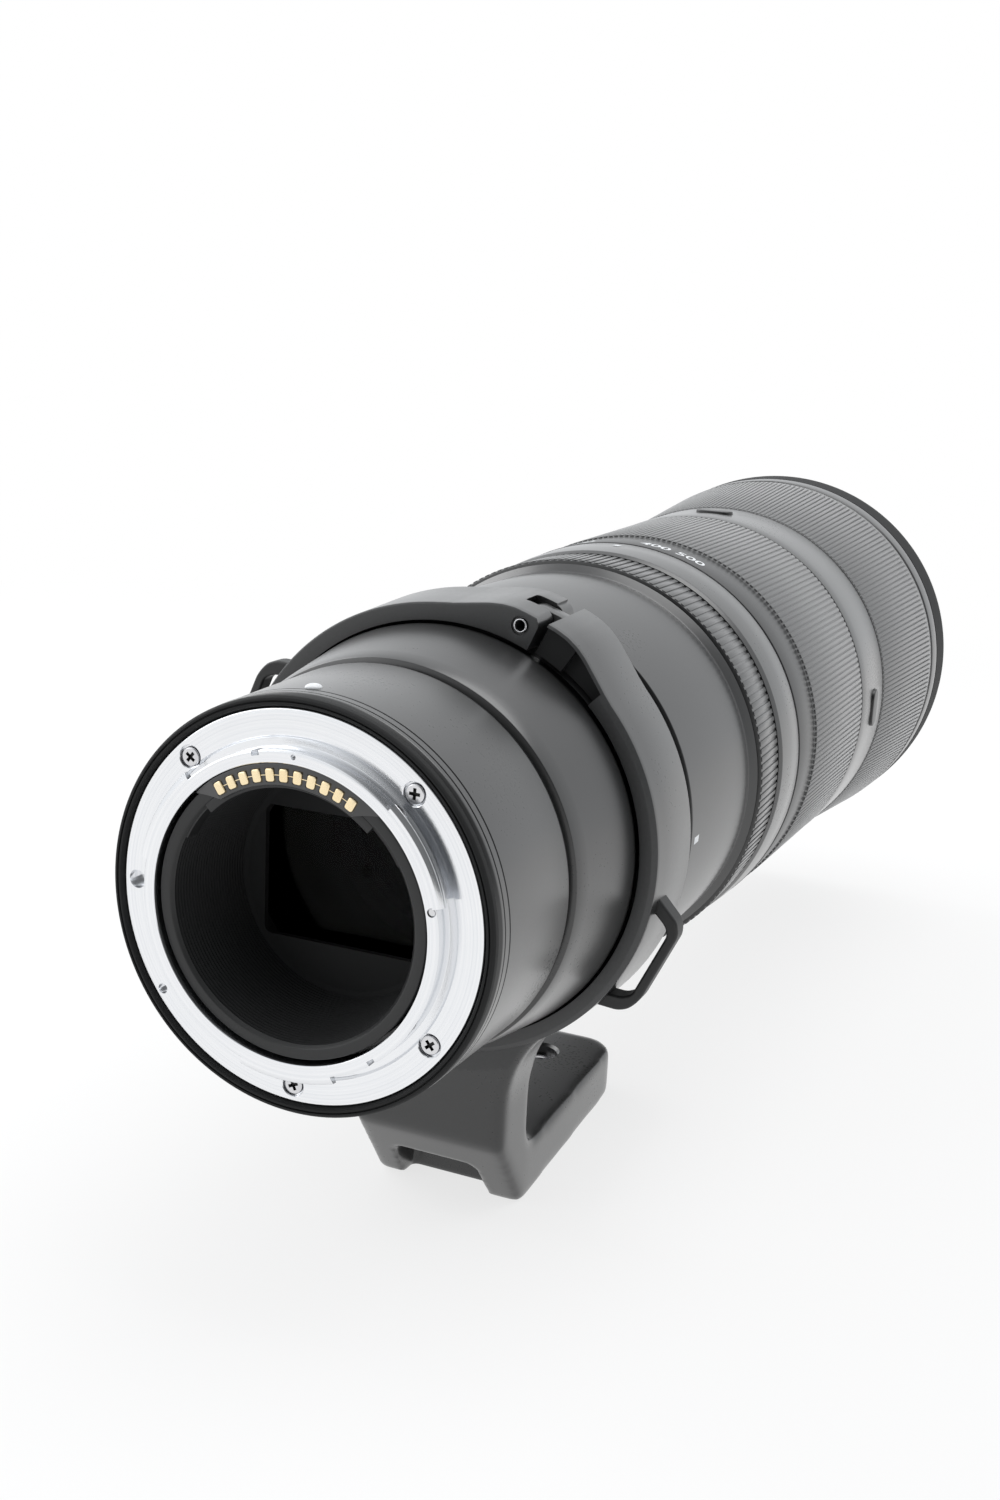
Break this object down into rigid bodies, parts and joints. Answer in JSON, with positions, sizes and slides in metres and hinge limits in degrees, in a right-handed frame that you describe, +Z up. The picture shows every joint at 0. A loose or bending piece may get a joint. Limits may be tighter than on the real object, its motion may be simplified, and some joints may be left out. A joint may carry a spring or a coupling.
{
  "type": "camera zoom lens",
  "caption": "Long internal-zoom camera lens with a bayonet mount, ribbed control, zoom and focus rings, and a hinged tripod collar with a foot.",
  "frame": {"origin": "centre of the mount flange's rear face, on the optical axis", "axes": "+Y forward along the optical axis, +Z up away from the foot, +X to the right seen from the camera body"},
  "size_m": [0.1098, 0.3191, 0.1349],
  "materials": {
    "barrel_black": "satin black paint",
    "collar_black": "satin black paint",
    "mount_metal": "polished plating",
    "steel": "bright",
    "gold": "plated",
    "rubber": "matte",
    "black_plastic": "matte",
    "inner_metal": "black anodised",
    "board_green": "solder mask",
    "glass": "coated"
  },
  "bodies": {
    "barrel": {"mount_plate": "mount_metal", "mount_screws": "steel", "mount_gasket": "rubber", "contact_block": "black_plastic", "contact_pins": "gold", "rear_light_baffle": "black_plastic", "rear_elements": "glass", "rear_barrel": "barrel_black", "main_board": "board_green", "collar_seat": "barrel_black", "support_tube": "inner_metal", "main_barrel": "barrel_black", "switch_panel": "black_plastic", "index_ring": "barrel_black", "guide_barrel": "inner_metal", "button_ring": "barrel_black", "front_barrel": "barrel_black", "front_elements": "glass", "front_retaining_ring": "inner_metal", "aperture_base": "black_plastic", "focus_rods": "steel", "focus_motor": "steel"},
    "collar": {"collar_base": "collar_black", "collar_hinge_pin": "steel", "strap_lug_right": "collar_black", "foot_thread_inserts": "steel"},
    "collar_arm": {"collar_arm": "collar_black", "strap_lug_left": "collar_black"},
    "lock_knob": {"lock_knob": "collar_black"},
    "control_ring": {"control_ring": "barrel_black"},
    "zoom_ring": {"zoom_ring": "barrel_black", "zoom_grip": "rubber", "cam_barrel": "inner_metal"},
    "variator": {"variator_cell": "inner_metal", "variator_elements": "glass"},
    "compensator": {"compensator_cell": "inner_metal", "compensator_elements": "glass"},
    "focus_ring": {"focus_ring": "barrel_black", "focus_grip": "rubber"},
    "focus_cell": {"focus_cell": "inner_metal", "focus_elements": "glass"},
    "vr_yaw": {"vr_yaw_frame": "black_plastic"},
    "vr_lens": {"vr_lens_cell": "black_plastic", "vr_elements": "glass"},
    "aperture_ring": {"aperture_ring": "inner_metal"},
    "aperture_blade_1": {"aperture_blade_1": "inner_metal"},
    "aperture_blade_2": {"aperture_blade_2": "inner_metal"},
    "aperture_blade_3": {"aperture_blade_3": "inner_metal"},
    "aperture_blade_4": {"aperture_blade_4": "inner_metal"},
    "aperture_blade_5": {"aperture_blade_5": "inner_metal"},
    "aperture_blade_6": {"aperture_blade_6": "inner_metal"},
    "aperture_blade_7": {"aperture_blade_7": "inner_metal"},
    "aperture_blade_8": {"aperture_blade_8": "inner_metal"},
    "aperture_blade_9": {"aperture_blade_9": "inner_metal"},
    "fn_button_top": {"fn_button_top": "black_plastic"},
    "fn_button_left": {"fn_button_left": "black_plastic"},
    "fn_button_bottom": {"fn_button_bottom": "black_plastic"},
    "fn_button_right": {"fn_button_right": "black_plastic"},
    "focus_mode_switch": {"focus_mode_switch": "black_plastic"},
    "focus_limit_switch": {"focus_limit_switch": "black_plastic"}
  },
  "joints": [
    {"name": "collar_turn", "type": "hinge", "parent": "barrel", "child": "collar", "pos_m": [0, 0.0605, 0], "axis": [0, 1, 0], "continuous": true},
    {"name": "collar_arm_open", "type": "hinge", "parent": "collar", "child": "collar_arm", "pos_m": [0.01512, 0.0605, 0.04153], "axis": [0, 1, 0], "range_deg": [0, 80]},
    {"name": "lock_knob_turn", "type": "hinge", "parent": "collar_arm", "child": "lock_knob", "pos_m": [-0.01935, 0.0605, -0.05041], "axis": [-0.9336, 0, 0.3584], "range_deg": [0, 720]},
    {"name": "control_ring_turn", "type": "hinge", "parent": "barrel", "child": "control_ring", "pos_m": [0, 0.1189, 0], "axis": [0, 1, 0], "continuous": true},
    {"name": "zoom_ring_turn", "type": "hinge", "parent": "barrel", "child": "zoom_ring", "pos_m": [0, 0.1471, 0], "axis": [0, 1, 0], "range_deg": [0, 70]},
    {"name": "variator_slide", "type": "slide", "parent": "barrel", "child": "variator", "axis": [0, 1, 0], "range_m": [0, 0.032]},
    {"name": "compensator_slide", "type": "slide", "parent": "barrel", "child": "compensator", "axis": [0, -1, 0], "range_m": [0, 0.012]},
    {"name": "focus_ring_turn", "type": "hinge", "parent": "barrel", "child": "focus_ring", "pos_m": [0, 0.2346, 0], "axis": [0, 1, 0], "continuous": true},
    {"name": "focus_cell_slide", "type": "slide", "parent": "barrel", "child": "focus_cell", "axis": [0, 1, 0], "range_m": [0, 0.022]},
    {"name": "vr_yaw_shift", "type": "slide", "parent": "barrel", "child": "vr_yaw", "axis": [1, 0, 0], "range_m": [-0.0006, 0.0006], "stiffness_N_per_m": 4000},
    {"name": "vr_pitch_shift", "type": "slide", "parent": "vr_yaw", "child": "vr_lens", "axis": [0, 0, 1], "range_m": [-0.0006, 0.0006], "stiffness_N_per_m": 4000},
    {"name": "aperture_ring_turn", "type": "hinge", "parent": "barrel", "child": "aperture_ring", "pos_m": [0, 0.1259, 0], "axis": [0, -1, 0], "range_deg": [0, 3.67]},
    {"name": "aperture_blade_1_turn", "type": "hinge", "parent": "barrel", "child": "aperture_blade_1", "pos_m": [0.026, 0.1282, 0], "axis": [0, -1, 0], "range_deg": [0, 25]},
    {"name": "aperture_blade_2_turn", "type": "hinge", "parent": "barrel", "child": "aperture_blade_2", "pos_m": [0.01992, 0.1282, 0.01671], "axis": [0, -1, 0], "range_deg": [0, 25]},
    {"name": "aperture_blade_3_turn", "type": "hinge", "parent": "barrel", "child": "aperture_blade_3", "pos_m": [0.00451, 0.1282, 0.0256], "axis": [0, -1, 0], "range_deg": [0, 25]},
    {"name": "aperture_blade_4_turn", "type": "hinge", "parent": "barrel", "child": "aperture_blade_4", "pos_m": [-0.013, 0.1282, 0.02252], "axis": [0, -1, 0], "range_deg": [0, 25]},
    {"name": "aperture_blade_5_turn", "type": "hinge", "parent": "barrel", "child": "aperture_blade_5", "pos_m": [-0.02443, 0.1282, 0.00889], "axis": [0, -1, 0], "range_deg": [0, 25]},
    {"name": "aperture_blade_6_turn", "type": "hinge", "parent": "barrel", "child": "aperture_blade_6", "pos_m": [-0.02443, 0.1282, -0.00889], "axis": [0, -1, 0], "range_deg": [0, 25]},
    {"name": "aperture_blade_7_turn", "type": "hinge", "parent": "barrel", "child": "aperture_blade_7", "pos_m": [-0.013, 0.1282, -0.02252], "axis": [0, -1, 0], "range_deg": [0, 25]},
    {"name": "aperture_blade_8_turn", "type": "hinge", "parent": "barrel", "child": "aperture_blade_8", "pos_m": [0.00451, 0.1282, -0.0256], "axis": [0, -1, 0], "range_deg": [0, 25]},
    {"name": "aperture_blade_9_turn", "type": "hinge", "parent": "barrel", "child": "aperture_blade_9", "pos_m": [0.01992, 0.1282, -0.01671], "axis": [0, -1, 0], "range_deg": [0, 25]},
    {"name": "fn_button_top_press", "type": "slide", "parent": "barrel", "child": "fn_button_top", "axis": [0, 0, -1], "range_m": [0, 0.0006], "stiffness_N_per_m": 800, "springref_m": -0.0012},
    {"name": "fn_button_left_press", "type": "slide", "parent": "barrel", "child": "fn_button_left", "axis": [1, 0, 0], "range_m": [0, 0.0006], "stiffness_N_per_m": 800, "springref_m": -0.0012},
    {"name": "fn_button_bottom_press", "type": "slide", "parent": "barrel", "child": "fn_button_bottom", "axis": [0, 0, 1], "range_m": [0, 0.0006], "stiffness_N_per_m": 800, "springref_m": -0.0012},
    {"name": "fn_button_right_press", "type": "slide", "parent": "barrel", "child": "fn_button_right", "axis": [-1, 0, 0], "range_m": [0, 0.0006], "stiffness_N_per_m": 800, "springref_m": -0.0012},
    {"name": "focus_mode_switch_slide", "type": "slide", "parent": "barrel", "child": "focus_mode_switch", "axis": [0, 1, 0], "range_m": [0, 0.003]},
    {"name": "focus_limit_switch_slide", "type": "slide", "parent": "barrel", "child": "focus_limit_switch", "axis": [0, 1, 0], "range_m": [0, 0.003]}
  ],
  "couplings": [
    {"joint": "variator_slide", "follows": "zoom_ring_turn", "m_per_rad": 0.02619},
    {"joint": "compensator_slide", "follows": "zoom_ring_turn", "m_per_rad": 0.00982},
    {"joint": "aperture_blade_1_turn", "follows": "aperture_ring_turn", "ratio": 6.81},
    {"joint": "aperture_blade_2_turn", "follows": "aperture_ring_turn", "ratio": 6.81},
    {"joint": "aperture_blade_3_turn", "follows": "aperture_ring_turn", "ratio": 6.81},
    {"joint": "aperture_blade_4_turn", "follows": "aperture_ring_turn", "ratio": 6.81},
    {"joint": "aperture_blade_5_turn", "follows": "aperture_ring_turn", "ratio": 6.81},
    {"joint": "aperture_blade_6_turn", "follows": "aperture_ring_turn", "ratio": 6.81},
    {"joint": "aperture_blade_7_turn", "follows": "aperture_ring_turn", "ratio": 6.81},
    {"joint": "aperture_blade_8_turn", "follows": "aperture_ring_turn", "ratio": 6.81},
    {"joint": "aperture_blade_9_turn", "follows": "aperture_ring_turn", "ratio": 6.81}
  ]
}
